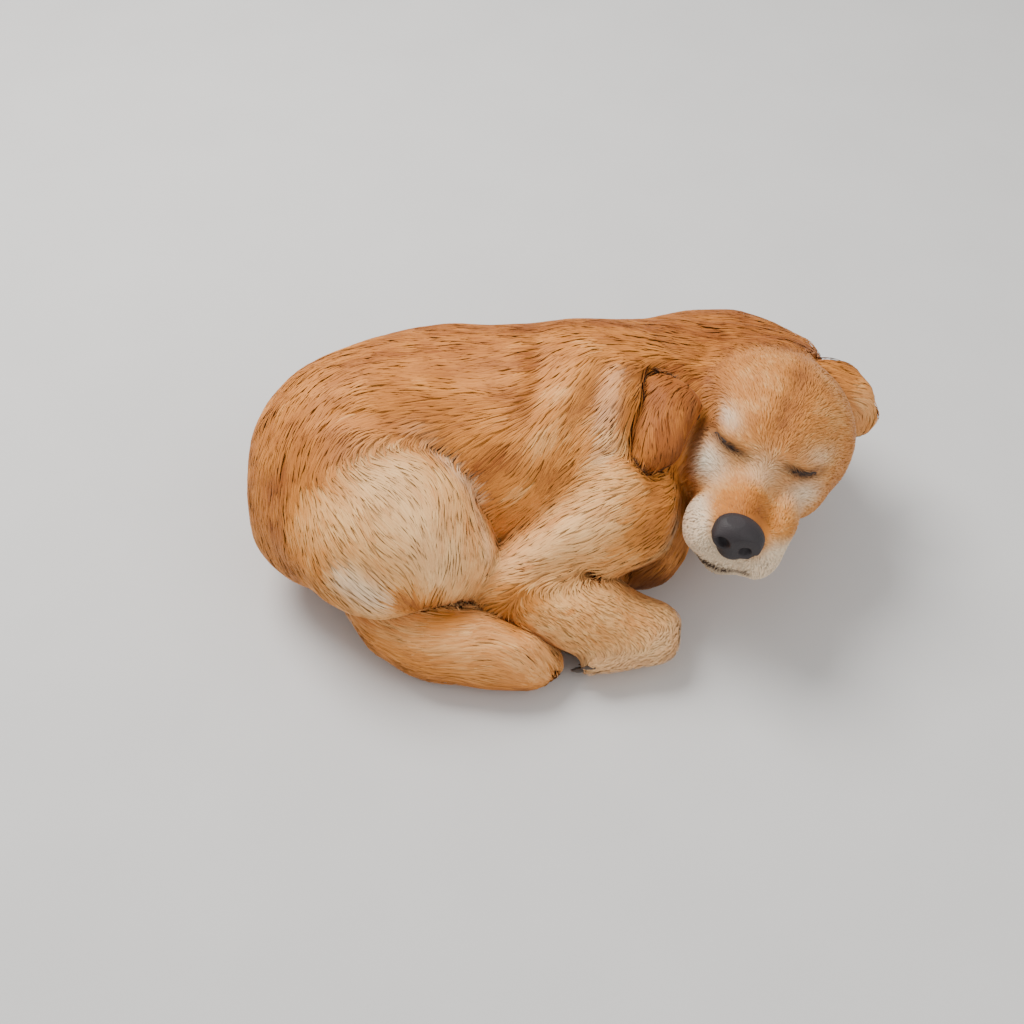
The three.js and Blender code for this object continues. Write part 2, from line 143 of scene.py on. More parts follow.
def blob(p, middle, radii):
    """Near distance to an ellipsoid."""
    q = (p - np.array(middle, float)) / np.array(radii, float)
    far = np.linalg.norm(q, axis=1)
    steep = np.linalg.norm(q / np.array(radii, float), axis=1)
    return far * (far - 1) / np.maximum(steep, 1e-6)


def to_line(points, *stations):
    """Distance to a line through the stations, and how far along it from 0 to 1."""
    best, share = np.full(len(points), 9.0), np.zeros(len(points))
    count = len(stations) - 1
    for i, (a, b) in enumerate(zip(stations, stations[1:])):
        along = b - a
        t = np.clip((points - a) @ along / (along @ along), 0, 1)
        d = np.linalg.norm(points - a - t[:, None] * along, axis=1)
        share = np.where(d < best, (i + t) / count, share)
        best = np.minimum(best, d)
    return best, share


# ---------------------------------------------------------------- head coordinates
# forward, left and up in mm from the point between the eyes, from where the lids and the nose lie.
NOSE_AHEAD, NOSE_BELOW = 85, 39
LEFT = unit(centre("eye_left") - centre("eye_right"))
BROW = (centre("eye_left") + centre("eye_right")) / 2
_to_nose = centre("nose") - BROW
_to_nose = unit(_to_nose - LEFT * (_to_nose @ LEFT))
_dip = math.atan2(NOSE_BELOW, NOSE_AHEAD)
FORWARD = unit(_to_nose * math.cos(_dip) + np.cross(_to_nose, LEFT) * math.sin(_dip))
TOP = np.cross(FORWARD, LEFT)
HEAD_AXES = np.stack([FORWARD, LEFT, TOP])
SIDES = (-1, 1)


def to_head(points):
    return (points - BROW) @ HEAD_AXES.T / MM


def from_head(forward, left, up):
    return BROW + MM * np.array([forward, left, up], float) @ HEAD_AXES


# The closed lids, from the outer corner to the inner corner.
SLITS = {
    "right": [(5, -62, 1), (19, -42, 2), (30, -20, 2)],
    "left": [(9, 54, 15), (22, 35, 11), (29, 17, 11.5)],
}


# The lips, from under the nose to the corner of the mouth on each side.
LIPS = [
    [(113, 2, -62), (103, -16, -73), (80, -36, -81), (34, -50, -76)],
    [(113, 2, -62), (102, 24, -72), (74, 44, -76), (34, 52, -68)],
]


def head_shape(p):
    """The head and its folds, in head coordinates."""
    skull = blend(
        14,
        blob(p, [-54, 0, -2], [84, 76, 64]),
        blob(p, [-18, 0, 6], [44, 54, 42]),
        blob(p, [-22, -42, -36], [54, 32, 44]),
        blob(p, [-26, 42, -24], [50, 31, 36]),
        *[blob(p, [-2, 25 * s, 12], [15, 19, 13]) for s in SIDES],
        blob(p, [-40, -8, -60], [60, 44, 34]),
    )
    muzzle = blend(
        12,
        limb(p, [-6, 0, -22], 27, [81, 0, -34], 19),
        limb(p, [0, 0, -46], 40, [66, 0, -50], 33),
        blob(p, [64, -22, -54], [39, 25, 28]),
        blob(p, [68, 25, -53], [38, 26, 27]),
        blob(p, [44, 36, -30], [34, 16, 20]),
        limb(p, [0, 0, -70], 26, [80, 0, -72], 17),
    )
    shape = soft_min(skull, muzzle, 16)
    forward, left, up = p.T
    furrow = 3.0 * bell(left, -3, 9) * ramp(forward, 34, 16) * ramp(forward, -70, -20) * ramp(up, 4, 24)
    hollow = 3.5 * sum(bell(forward, 36, 13) * bell(left, 20 * s, 9) * bell(up, -4, 14) for s in SIDES)
    bridge = -2.5 * bell(left, 0, 13) * ramp(forward, 36, 56) * ramp(up, -34, -22)
    lips = np.minimum(*[to_line(p, *np.array(line, float))[0] for line in LIPS])
    mouth = 4.0 * bell(lips, 0, 3.2)
    cleft, _ = to_line(p, np.array([112.0, 0, -48]), np.array([112.0, 0, -62]))
    shape = shape + furrow + hollow + bridge + mouth + 2.0 * bell(cleft, 0, 2.6)
    for slit in SLITS.values():
        away, _ = to_line(p, *[np.array(v, float) for v in slit])
        middle = np.array(slit[1], float) + [0, 0, 3]
        lid = np.linalg.norm((p - middle) / [1.4, 1.25, 1.0], axis=1)
        shape = shape - 4.0 * bell(lid, 0, 11) + 3.4 * bell(away, 0, 2.9)
    return shape


def nose_shape(p):
    pad = blend(
        6,
        blob(p, [98, 0, -29], [18, 24, 16]),
        blob(p, [97, 0, -43], [14, 15, 14]),
        *[blob(p, [104, 14 * s, -36], [11, 9, 9]) for s in SIDES],
    )
    for s in SIDES:
        round_hole = blob(p, [117, 11.5 * s, -37], [14, 7.2, 6.8])
        side_slot = limb(p, [112, 14 * s, -40], 4.0, [102, 28 * s, -42], 2.4)
        opening = blend(3, round_hole, side_slot)
        pad = -soft_min(-pad, opening, 2.5)
    groove, _ = to_line(p, np.array([117.0, 0, -26]), np.array([112.0, 0, -56]))
    return pad + 1.6 * bell(groove, 0, 1.7)


# ---------------------------------------------------------------- the distance volume
low = np.min([np.array(box[0]) for box in NODE_BOXES], axis=0)
high = np.max([np.array(box[1]) for box in NODE_BOXES], axis=0)
FIRST = np.floor(low / VOXEL).astype(int) - 8
SHAPE = tuple(np.ceil(high / VOXEL).astype(int) + 8 - FIRST)
TRANSFORM = vdb.createLinearTransform(voxelSize=VOXEL)


def distances(points, triangles, quads=None):
    """A volume of signed distance to a closed mesh, true within the band."""
    grid = vdb.FloatGrid.createLevelSetFromPolygons(
        points.astype(np.float32),
        triangles=triangles.astype(np.uint32),
        quads=(quads if quads is not None else np.zeros((0, 4))).astype(np.uint32),
        transform=TRANSFORM,
        halfWidth=BAND,
    )
    volume = np.zeros(SHAPE, np.float32)
    grid.copyToArray(volume, ijk=tuple(int(i) for i in FIRST))
    return volume


def surface(volume, voxel=VOXEL, first=None, adaptivity=0.0):
    """Points, triangles and quads where the volume crosses zero."""
    first = FIRST if first is None else first
    grid = vdb.FloatGrid(float(volume.max()))
    grid.transform = vdb.createLinearTransform(voxelSize=voxel)
    grid.copyFromArray(np.ascontiguousarray(volume, np.float32), ijk=tuple(int(i) for i in first))
    grid.gridClass = vdb.GridClass.LEVEL_SET
    return grid.convertToPolygons(isovalue=0.0, adaptivity=adaptivity)


def node_mesh(name):
    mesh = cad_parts[name].data
    mesh.calc_loop_triangles()
    points = np.zeros(len(mesh.vertices) * 3, np.float32)
    mesh.vertices.foreach_get("co", points)
    corners = np.zeros(len(mesh.loop_triangles) * 3, np.int32)
    mesh.loop_triangles.foreach_get("vertices", corners)
    points, index = np.unique(points.reshape(-1, 3).round(7), axis=0, return_inverse=True)
    return points, index.reshape(-1)[corners.reshape(-1, 3)]


def blur(volume, sigma, step=1):
    """Gaussian blur, sigma in metres, on a volume sampled every step voxels."""
    s = sigma / (VOXEL * step)
    reach = max(1, int(math.ceil(2.4 * s)))
    weights = np.exp(-0.5 * (np.arange(-reach, reach + 1) / s) ** 2)
    weights = (weights / weights.sum()).astype(np.float32)
    for axis in range(3):
        padded = np.pad(volume, [(reach, reach) if a == axis else (0, 0) for a in range(3)], mode="edge")
        out = np.zeros_like(volume)
        for i, w in enumerate(weights):
            window = [slice(None)] * 3
            window[axis] = slice(i, i + volume.shape[axis])
            out += w * padded[tuple(window)]
        volume = out
    return volume


def sample(volume, points, step=1):
    """The volume at points, by trilinear interpolation; a last axis of channels is kept."""
    at = (points / VOXEL - FIRST) / step
    at = np.clip(at, 0, np.array(volume.shape[:3]) - 1.001)
    cell = at.astype(int)
    t = at - cell
    total = 0
    for corner in range(8):
        o = np.array([corner & 1, corner >> 1 & 1, corner >> 2 & 1])
        weight = np.prod(np.where(o, t, 1 - t), axis=1)
        value = volume[tuple((cell + o).T)]
        total = total + (value * weight if volume.ndim == 3 else value * weight[:, None])
    return total


label = np.zeros(SHAPE, np.uint8)
nearest = np.full(SHAPE, 1.0, np.float32)
node_volume = {}
for number, name in enumerate(FLESH):
    node_volume[name] = distances(*node_mesh(name))
    label[node_volume[name] < nearest] = number
    nearest = np.minimum(nearest, node_volume[name])


def rounded(nodes, sigma):
    """The joined nodes with their facets and the cuts between them smoothed away."""
    joined = np.minimum.reduce([node_volume[n] for n in nodes])
    return blur(distances(*surface(joined - CLOSING)) + CLOSING, sigma * MM)


def head_volume():
    """The head's distance volume, and how softly it runs into the neck: softer towards the nape."""
    volume = np.full(SHAPE, BAND * VOXEL, np.float32)
    softness = np.full(SHAPE, 4 * MM, np.float32)
    low, high = (np.array(v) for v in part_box("head"))
    a = np.maximum(np.floor((low - 0.02) / VOXEL).astype(int) - FIRST, 0)
    b = np.minimum(np.ceil((high + 0.02) / VOXEL).astype(int) - FIRST, SHAPE)
    axes = [(np.arange(a[i], b[i]) + FIRST[i]) * VOXEL for i in range(3)]
    points = np.stack(np.meshgrid(*axes, indexing="ij"), axis=-1)
    local = to_head(points.reshape(-1, 3))
    values = head_shape(local) * MM
    soft = (4 + 34 * ramp(local[:, 0], 5, -45) * ramp(local[:, 2], -50, -10)) * MM
    softness[a[0] : b[0], a[1] : b[1], a[2] : b[2]] = soft.reshape(points.shape[:3])
    values = values.reshape(points.shape[:3]).clip(-BAND * VOXEL, BAND * VOXEL)
    volume[a[0] : b[0], a[1] : b[1], a[2] : b[2]] = values
    return volume, softness


def layered(layers):
    """Joins layers from the lowest up. Each one sinks by its crease where a higher one lies on it."""
    joined, width, depth = layers[-1]
    for below, w, d in reversed(layers[:-1]):
        sunk = np.maximum(below, np.minimum(width * MM - joined, below + depth * MM))
        joined = np.minimum(sunk, joined)
        width, depth = w, d
    return joined


trunk = rounded(["neck", "chest", "loin", "rump"], 6.0)
forearm = soft_min(rounded(["foreleg_right_lower"], 4.0), rounded(["paw_fore_right"], 2.4), 18 * MM)
ahead = ((np.arange(SHAPE[0]) + FIRST[0]) * VOXEL - centre("hindleg_right_thigh")[0])[:, None, None]
HAUNCH_BLEND = (6 + 28 * ramp(ahead, 50 * MM, -25 * MM)) * MM
haunch = soft_min(trunk, rounded(["hindleg_right_thigh"], 5.0), HAUNCH_BLEND)
body = layered(
    [
        (blend(14 * MM, haunch, rounded(["foreleg_right_upper"], 5.0), forearm), 2, 3),
        (rounded(["hindleg_left", "foreleg_left", "paw_fore_left", "paw_hind_left"], 1.6), 2, 3),
        (rounded(["hindleg_right_lower", "paw_hind_right"], 3.0), 2, 4),
        (rounded(["tail"], 5.0), 2, 3),
    ]
)
head, softness = head_volume()
ears = np.minimum(rounded(["ear_right"], 3.2), rounded(["ear_left"], 3.2))
field = layered([(soft_min(body, head, softness), 1.5, 2.5), (ears, 1.5, 2.5)])
field = blur(field, 1.6 * MM)

STEP = 2
coarse = tuple(slice(None, None, STEP) for _ in range(3))
coarse_axes = [(np.arange(0, SHAPE[a], STEP) + FIRST[a]) * VOXEL for a in range(3)]
flat_points = np.stack(np.meshgrid(*coarse_axes, indexing="ij"), axis=-1).reshape(-1, 3)
flat_label = label[coarse].reshape(-1)
near = (np.abs(field[coarse]) < 0.9 * BAND * VOXEL).astype(np.float32)
SPREAD = 6 * MM
near_blurred = np.maximum(blur(near, SPREAD, STEP), 1e-4)


def spread(values):
    """Values given for each coarse voxel, smoothed over the surface, as a volume with channels."""
    values = values.reshape(near.shape + (-1,)).astype(np.float32)
    channels = [blur(values[..., c] * near, SPREAD, STEP) / near_blurred for c in range(values.shape[-1])]
    return np.stack(channels, axis=-1)


def finer(volume):
    for axis in range(3):
        volume = np.repeat(volume, STEP, axis)
    return volume[tuple(slice(0, n) for n in SHAPE)]


# Folds and swells of the trunk: (how deep, how wide in mm, stations).
FOLDS = [
    (5.0, 10, chest_at(0.13, 0.80, 0.9), chest_at(0.15, 0.43, 0.96), chest_at(0.08, 0.25, 0.88)),
    (-5.0, 19, chest_at(0.5, 0.56, 0.98), chest_at(0.30, 0.34, 0.94), chest_at(0.11, 0.21, 0.81)),
    (4.0, 14, chest_at(0.62, 0.62, 0.98), chest_at(0.45, 0.36, 0.97), chest_at(0.36, 0.22, 0.9)),
    (-5.0, 11, chest_at(0.64, 0.50, 0.97), chest_at(0.59, 0.36, 0.93), chest_at(0.6, 0.2, 0.85)),
    (7.0, 9, arm_at(0.34, 0.13, 0.44), arm_at(0.49, 0.15, 0.48),
     chest_at(0.68, 0.02, 0.25)),
    (6.0, 18, arm_at(0.85, 0.45, 0.75), arm_at(0.84, 0.3, 0.68)),
    (-5.0, 20, arm_at(0.25, 0.18, 0.52), arm_at(0.6, 0.32, 0.66)),
    (4.0, 10, rump_at(0.50, 0.34, 0.97), rump_at(0.80, 0.33, 0.94)),
]
relief = np.zeros(len(flat_points), np.float32)
close = near.reshape(-1) > 0
for depth, width, *stations in FOLDS:
    away, share = to_line(flat_points[close], *stations)
    relief[close] += depth * MM * bell(away, 0, width * MM) * (0.35 + 0.65 * bell(share, 0.5, 0.45))
relief_volume = blur(finer(relief.reshape(near.shape)), 2.5 * MM)
field = field + relief_volume
gradient = np.stack(np.gradient(field, VOXEL), axis=-1).astype(np.float32)
traits = spread(np.array([COAT[name] for name in FLESH])[flat_label])


def outwards(points):
    return unit(sample(gradient, points))


# ---------------------------------------------------------------- the lie of the coat
def trunk_lie(p):
    mid = centre("loin")
    rise = (p - mid) @ RISE
    down = 0.10 + 0.75 * ramp(rise, 60 * MM, -40 * MM)
    to_rump = ramp(p[:, 0], mid[0] - 30 * MM, mid[0] - 150 * MM)
    to_neck = ramp(p[:, 0], mid[0] + 55 * MM, mid[0] + 130 * MM)
    down = down + 1.3 * to_rump + 0.85 * to_neck * ramp(rise, 115 * MM, 70 * MM)
    back = 1 - 0.75 * to_rump - 0.2 * to_neck
    return -RIGHT * back[:, None] - RISE * down[:, None]


def neck_lie(p):
    d = p - centre("neck")
    down = 0.9 * ramp(d @ RISE, 90 * MM, 10 * MM) + 0.15
    return -RIGHT - RISE * down[:, None]


def thigh_lie(p):
    d = p - centre("hindleg_right_thigh")
    angle = -50 - 42 * ramp(d[:, 0], 5 * MM, 48 * MM) + 28 * ramp(d @ RISE, 15 * MM, 70 * MM)
    angle = np.radians(angle - 25 * ramp(d[:, 0], -40 * MM, -90 * MM))
    return RIGHT * np.cos(angle)[:, None] + RISE * np.sin(angle)[:, None]


def tail_lie(p):
    low_corner, high_corner = (np.array(c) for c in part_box("tail"))
    along = (p[:, 0] - low_corner[0]) / (high_corner[0] - low_corner[0])
    rise = 0.22 - 0.25 * along - 1.15 * ramp(along, 0.5, 1.0)
    toward = np.stack([np.ones_like(along), -0.8 * ramp(along, 0.45, 0.0), np.zeros_like(along)], axis=1)
    return toward + RISE * rise[:, None]


def head_lie(p):
    forward, left, up = to_head(p).T
    side = np.tanh(left / 22.0)
    low_cheek = ramp(up, -6.0, -48.0)
    sideways = 0.35 + 0.5 * ramp(forward, 10.0, -60.0)
    muzzle = ramp(forward, 18.0, 50.0)
    ahead = -FORWARD * (1 - 0.25 * low_cheek)[:, None]
    aside = LEFT * (side * sideways * (1 - 0.5 * muzzle))[:, None]
    return ahead + aside - TOP * (0.95 * low_cheek + 0.25 * muzzle)[:, None]


def ear_right_lie(p):
    turn = ramp(p[:, 1], centre("ear_right")[1] + 30 * MM, centre("ear_right")[1] - 20 * MM)[:, None]
    return np.array([-0.75, -0.65, 0.1]) * (1 - turn) + np.array([0.0, -0.8, -0.6]) * turn


def ear_left_lie(p):
    turn = ramp(p[:, 2], centre("ear_left")[2] + 20 * MM, centre("ear_left")[2] - 15 * MM)[:, None]
    return np.array([0.85, -0.15, -0.25]) * (1 - turn) + np.array([-0.1, -0.45, -0.9]) * turn


def steady(*direction):
    return lambda p: np.tile(np.array(direction), (len(p), 1))


LIE = {
    "neck": neck_lie,
    "chest": trunk_lie,
    "loin": trunk_lie,
    "rump": trunk_lie,
    "hindleg_right_thigh": thigh_lie,
    "hindleg_right_lower": steady(0.3, -0.5, -0.9),
    "hindleg_left": steady(0.6, -0.3, -0.6),
    "foreleg_right_upper": steady(-1.0, -0.25, -0.3),
    "foreleg_right_lower": steady(0.9, -0.45, -0.45),
    "foreleg_left": steady(0.95, 0.0, -0.3),
    "paw_fore_right": steady(-0.9, -0.4, -0.2),
    "paw_fore_left": steady(0.95, -0.2, -0.2),
    "paw_hind_right": steady(0.95, 0.0, -0.2),
    "paw_hind_left": steady(0.95, 0.0, -0.2),
    "tail": tail_lie,
    "head": head_lie,
    "ear_right": ear_right_lie,
    "ear_left": ear_left_lie,
}
lie = np.zeros((len(flat_points), 3))
for number, name in enumerate(FLESH):
    mine = flat_label == number
    lie[mine] = unit(LIE[name](flat_points[mine]))
lie = spread(lie)


def lie_at(points, normal):
    flow = sample(lie, points, STEP)
    return unit(flow - normal * np.sum(flow * normal, axis=1, keepdims=True))


# ---------------------------------------------------------------- markings, painted shade and painted highlights
def soft_noise(points, size, seed):
    """Smooth noise of about -1 to 1 from a few plane waves of the given size."""
    waves = np.random.default_rng(seed)
    total = np.zeros(len(points))
    for _ in range(7):
        wave = waves.normal(size=3) / (size * 0.5)
        total += np.sin(points @ wave + waves.uniform(0, 2 * math.pi))
    return total / 2.6


on_head = spread((flat_label == FLESH.index("head")).astype(float))
on_trunk = spread((flat_label < 4).astype(float))

# Marks: (tone, cream, dark, half width in mm, stations). Some are the coat's own markings; the others are
# painted shade in creases, folds and under the chin, or painted highlights on ridges, swells and lit edges.
MARKS_AND_PAINTED_LIGHT = [
    (-0.15, 0.45, 0.0, 15, thigh_at(0.28, 0.08, 0.54), thigh_at(0.42, 0.04, 0.44)),
    # painted shade in the crease between the hock and the thigh
    (0.50, -0.4, 0.14, 14, thigh_at(0.53, 0.04, 0.42), thigh_at(0.67, 0.06, 0.28)),
    # painted highlight on top of the thigh
    (-0.12, 0.10, 0.0, 36, thigh_at(0.45, 0.5, 0.95), thigh_at(0.72, 0.2, 0.6)),
    # painted shade along the rear edge of the thigh
    (0.34, -0.1, 0.0, 30, thigh_at(0.02, 0.6, 0.7), thigh_at(0.08, 0.25, 0.4)),
    # painted highlight along the thigh's front rim
    (-0.12, 0.30, 0.0, 9, thigh_at(0.62, 0.85, 0.95), thigh_at(0.9, 0.62, 0.72),
     thigh_at(0.99, 0.3, 0.5)),
    (-0.12, 0.20, 0.0, 9, chest_at(0.62, 0.46, 0.95), chest_at(0.57, 0.33, 0.92),
     arm_at(0.64, 0.55, 0.84)),
    # painted highlight along the shoulder-blade ridge
    (-0.15, 0.02, 0.0, 17, chest_at(0.5, 0.56, 0.98), chest_at(0.30, 0.34, 0.94), chest_at(0.11, 0.21, 0.81)),
    # painted shade in the fold in front of the shoulder-blade ridge
    (0.20, 0.0, 0.05, 11, chest_at(0.62, 0.62, 0.98), chest_at(0.45, 0.36, 0.97), chest_at(0.36, 0.22, 0.9)),
    # painted shade in the crease behind the shoulder
    (0.20, 0.0, 0.05, 9, chest_at(0.13, 0.85, 0.9), chest_at(0.15, 0.43, 0.96), chest_at(0.10, 0.28, 0.9)),
    # painted highlight on the swell of the upper arm
    (-0.1, 0.08, 0.0, 24, arm_at(0.22, 0.18, 0.5), arm_at(0.62, 0.32, 0.66)),
    # painted shade in the groove between the upper arm and the neck
    (0.38, -0.15, 0.12, 24, arm_at(0.93, 0.5, 0.78), arm_at(0.86, 0.22, 0.62)),
    # painted shade in the crease at the elbow
    (0.25, -0.15, 0.12, 17, arm_at(0.14, 0.05, 0.28), arm_at(0.24, 0.05, 0.32)),
    # painted shadow on the chest under the chin
    (0.35, 0.0, 0.45, 30, chest_at(0.78, 0.03, 0.28), chest_at(0.95, 0.03, 0.16)),
    # painted shade along the right ear's fold
    (0.10, 0.0, 0.30, 5, ear_right_at(0.84, 0.74, 0.9), ear_right_at(0.70, 0.36, 0.74),
     ear_right_at(0.5, 0.1, 0.42)),
    # painted shade on the left ear's upper back, where it folds against the neck
    (0.25, 0.0, 0.08, 16, ear_left_at(0.2, 0.95, 0.95), ear_left_at(0.65, 0.85, 0.95)),
    # painted highlight on the left ear's front lobe
    (-0.12, 0.08, 0.0, 18, ear_left_at(0.7, 0.2, 0.6), ear_left_at(0.6, 0.1, 0.3)),
    # painted shade along the lower front edge of the tail
    (0.30, -0.1, 0.0, 24, tail_at(0.05, 0.4, 0.4), tail_at(0.5, 0.02, 0.2), tail_at(0.9, 0.05, 0.2)),
]


def face_markings_and_painted_shade(points):
    f, l, u = to_head(points).T
    side = np.abs(l)
    right = ramp(l, 10, -14)
    stripe = bell(l, -3, 12) * ramp(f, 30, 10) * ramp(f, -95, -40) * ramp(u, 6, 24)
    above_right = bell(l, -50, 14) * bell(u, 20, 8) * bell(f, 6, 22)
    above_eye = above_right + 0.5 * bell(l, 40, 16) * bell(u, 26, 8) * bell(f, 6, 22)
    below_right = right * bell(l, -49, 17) * bell(u, -21, 15) * bell(f, 26, 24)
    below_eye = below_right + 0.6 * bell(l, 44, 16) * bell(u, -8, 13) * bell(f, 20, 22)
    between = bell(l, 0, 20) * bell(f, 36, 17) * bell(u, 3, 16)
    flew_side = ramp(side, 22, 36) * ramp(f, 48, 70) * ramp(u, -22, -40)
    flew = np.clip(ramp(u, -30, -52) * ramp(f, 40, 66) + flew_side, 0, 1)
    bridge = bell(l, 2, 24) * bell(f, 80, 20) * ramp(u, -38, -22)
    chin = ramp(u, -72, -84) * ramp(f, 20, 60)
    cheek = ramp(side, 50, 72) * bell(u, -30, 30)
    back_of_head = ramp(f, -55, -110) + 0.6 * ramp(side, 45, 75) * ramp(f, 20, -40)
    tone = 0.26 * back_of_head + 0.34 * stripe + 0.36 * bridge - 0.2 * above_eye
    tone = tone - 0.3 * below_eye - 0.22 * between - 0.3 * flew + 0.12 * cheek
    cream = 0.5 * above_eye + 0.95 * below_eye + 0.3 * between + 0.7 * flew - 0.6 * bridge
    mouth, _ = to_line(np.stack([f, l, u], axis=1), np.array([105.0, 24, -62]), np.array([98.0, 10, -73]),
                       np.array([97.0, -6, -75]), np.array([88.0, -18, -79]))
    # Dark lips, and painted shade under the chin.
    dark = 0.9 * bell(mouth, 0, 4.0) + 0.35 * chin
    # painted shade around each closed eye
    for slit in SLITS.values():
        away, share = to_line(np.stack([f, l, u], axis=1), *[np.array(v, float) for v in slit])
        dark = dark + (0.6 + 0.4 * bell(share, 0.6, 0.3)) * bell(away, 0, 6.0)
    return tone, cream, dark


def markings_and_painted_light(points):
    """Tone (0 pale .. 1 deep), cream and dark for each point, the same for skin and coat: the coat's markings
    with painted shade and painted highlights.
    """
    trait = sample(traits, points, STEP)
    tone, cream = trait[:, TONE], trait[:, CREAM]
    rise = (points - centre("loin")) @ RISE
    trunk_share = sample(on_trunk, points, STEP)[:, 0]
    tone = tone + trunk_share * (0.20 * ramp(rise, 75 * MM, 115 * MM) - 0.10 * ramp(rise, -20 * MM, -90 * MM))
    tone = tone + trunk_share * 0.09 * soft_noise(points * np.array([0.5, 1.6, 1.6]), 46 * MM, 3)
    tone = tone + 0.05 * soft_noise(points, 20 * MM, 5)
    dark = np.zeros(len(points))
    for d_tone, d_cream, d_dark, width, *stations in MARKS_AND_PAINTED_LIGHT:
        strength = bell(to_line(points, *stations)[0], 0, width * MM)
        tone, cream, dark = tone + d_tone * strength, cream + d_cream * strength, dark + d_dark * strength
    head_share = np.clip(sample(on_head, points, STEP)[:, 0] * 1.4, 0, 1)
    face = face_markings_and_painted_shade(points)
    tone, cream, dark = (x + head_share * y for x, y in zip((tone, cream, dark), face))
    return np.clip(tone, 0, 1), np.clip(cream, 0, 1), np.clip(dark, 0, 1)


# ---------------------------------------------------------------- materials
def new_material(name):
    material = bpy.data.materials.new(name)
    material.use_nodes = True
    tree = material.node_tree
    tree.nodes.clear()
    out = tree.nodes.new("ShaderNodeOutputMaterial")
    shader = tree.nodes.new("ShaderNodeBsdfPrincipled")
    tree.links.new(shader.outputs[0], out.inputs[0])
    return material, tree, shader


def put(tree, socket, value):
    if isinstance(value, bpy.types.NodeSocket):
        tree.links.new(value, socket)
    else:
        socket.default_value = value


def add_node(tree, kind, values=None, **settings):
    node = tree.nodes.new(kind)
    for key, value in settings.items():
        setattr(node, key, value)
    for socket, value in (values or {}).items():
        put(tree, node.inputs[socket], value)
    return node


def blend_colours(tree, factor, a, b, mode="MIX"):
    node = add_node(tree, "ShaderNodeMix", {0: factor, 6: a, 7: b}, data_type="RGBA", blend_type=mode)
    return node.outputs[2]


def arithmetic(tree, operation, a, b):
    return add_node(tree, "ShaderNodeMath", {0: a, 1: b}, operation=operation).outputs[0]


PALE = (0.94, 0.53, 0.20, 1)
GOLD = (0.65, 0.235, 0.042, 1)
DEEP = (0.30, 0.085, 0.014, 1)
CREAM_COLOUR = (0.98, 0.84, 0.64, 1)
DARK = (0.045, 0.026, 0.018, 1)


def coat_material(name, hair):
    """Marked coat, whose marks carry painted shade and painted highlights too. On hair the tone also varies
    from tuft to tuft, and painted shade makes each tuft a little darker at the root than at the tip.
    """
    material, tree, shader = new_material(name)
    mark_and_painted_light = add_node(tree, "ShaderNodeAttribute", attribute_name="mark_and_painted_light")
    parts = add_node(tree, "ShaderNodeSeparateXYZ", {0: mark_and_painted_light.outputs["Vector"]})
    lock = add_node(tree, "ShaderNodeAttribute", attribute_name="lock")
    lock_parts = add_node(tree, "ShaderNodeSeparateXYZ", {0: lock.outputs["Vector"]})
    place = add_node(tree, "ShaderNodeTexCoord").outputs["Object"]
    patch = add_node(tree, "ShaderNodeTexNoise", {"Vector": place, "Scale": 60.0, "Detail": 3.0}).outputs[0]
    varied = arithmetic(tree, "MULTIPLY", arithmetic(tree, "SUBTRACT", patch, 0.5), 0.16)
    tone = arithmetic(tree, "ADD", parts.outputs[0], varied)
    if hair:
        tone = arithmetic(tree, "ADD", tone, arithmetic(tree, "MULTIPLY", lock_parts.outputs[0], 0.16))
    stops = add_node(tree, "ShaderNodeValToRGB", {0: tone})
    stops.color_ramp.elements[0].color = PALE
    stops.color_ramp.elements[1].color = DEEP
    stops.color_ramp.elements.new(0.5).color = GOLD
    # Cream: pale fur, and painted highlights on ridges and lit edges.
    colour = blend_colours(tree, parts.outputs[1], stops.outputs[0], CREAM_COLOUR)
    # Dark: dark lips, and painted shade in creases, under the chin and around the closed eyes.
    colour = blend_colours(tree, parts.outputs[2], colour, DARK)
    if hair:
        # painted shade: each tuft a little darker at its root and a little lighter at its tip
        root = add_node(tree, "ShaderNodeMapRange", {0: lock_parts.outputs[1], 3: 0.98, 4: 1.03})
        shaded = add_node(tree, "ShaderNodeCombineXYZ", {i: root.outputs[0] for i in range(3)})
        colour = blend_colours(tree, 1.0, colour, shaded.outputs[0], "MULTIPLY")
    else:
        colour = blend_colours(tree, 1.0, colour, (1.0, 0.97, 0.93, 1), "MULTIPLY")
    tree.links.new(colour, shader.inputs["Base Color"])
    shader.inputs["Roughness"].default_value = 0.55 if hair else 0.8
    shader.inputs["Specular IOR Level"].default_value = 0.2
    shader.inputs["Sheen Weight"].default_value = 0.08
    shader.inputs["Sheen Roughness"].default_value = 0.4
    shader.inputs["Sheen Tint"].default_value = (1.0, 0.85, 0.6, 1)
    return material


def nose_material():
    material, tree, shader = new_material("nose_leather")
    place = add_node(tree, "ShaderNodeTexCoord").outputs["Object"]
    pebbles = add_node(tree, "ShaderNodeTexVoronoi", {"Vector": place, "Scale": 900.0}).outputs["Distance"]
    cloud = add_node(tree, "ShaderNodeTexNoise", {"Vector": place, "Scale": 70.0, "Detail": 4.0}).outputs[0]
    colour = blend_colours(tree, cloud, (0.009, 0.007, 0.009, 1), (0.034, 0.026, 0.030, 1))
    tree.links.new(colour, shader.inputs["Base Color"])
    rough = add_node(tree, "ShaderNodeMapRange", {0: cloud, 3: 0.48, 4: 0.68})
    tree.links.new(rough.outputs[0], shader.inputs["Roughness"])
    bump = add_node(tree, "ShaderNodeBump", {"Height": pebbles, "Strength": 0.35, "Distance": 0.0006})
    tree.links.new(bump.outputs[0], shader.inputs["Normal"])
    shader.inputs["Specular IOR Level"].default_value = 0.45
    return material


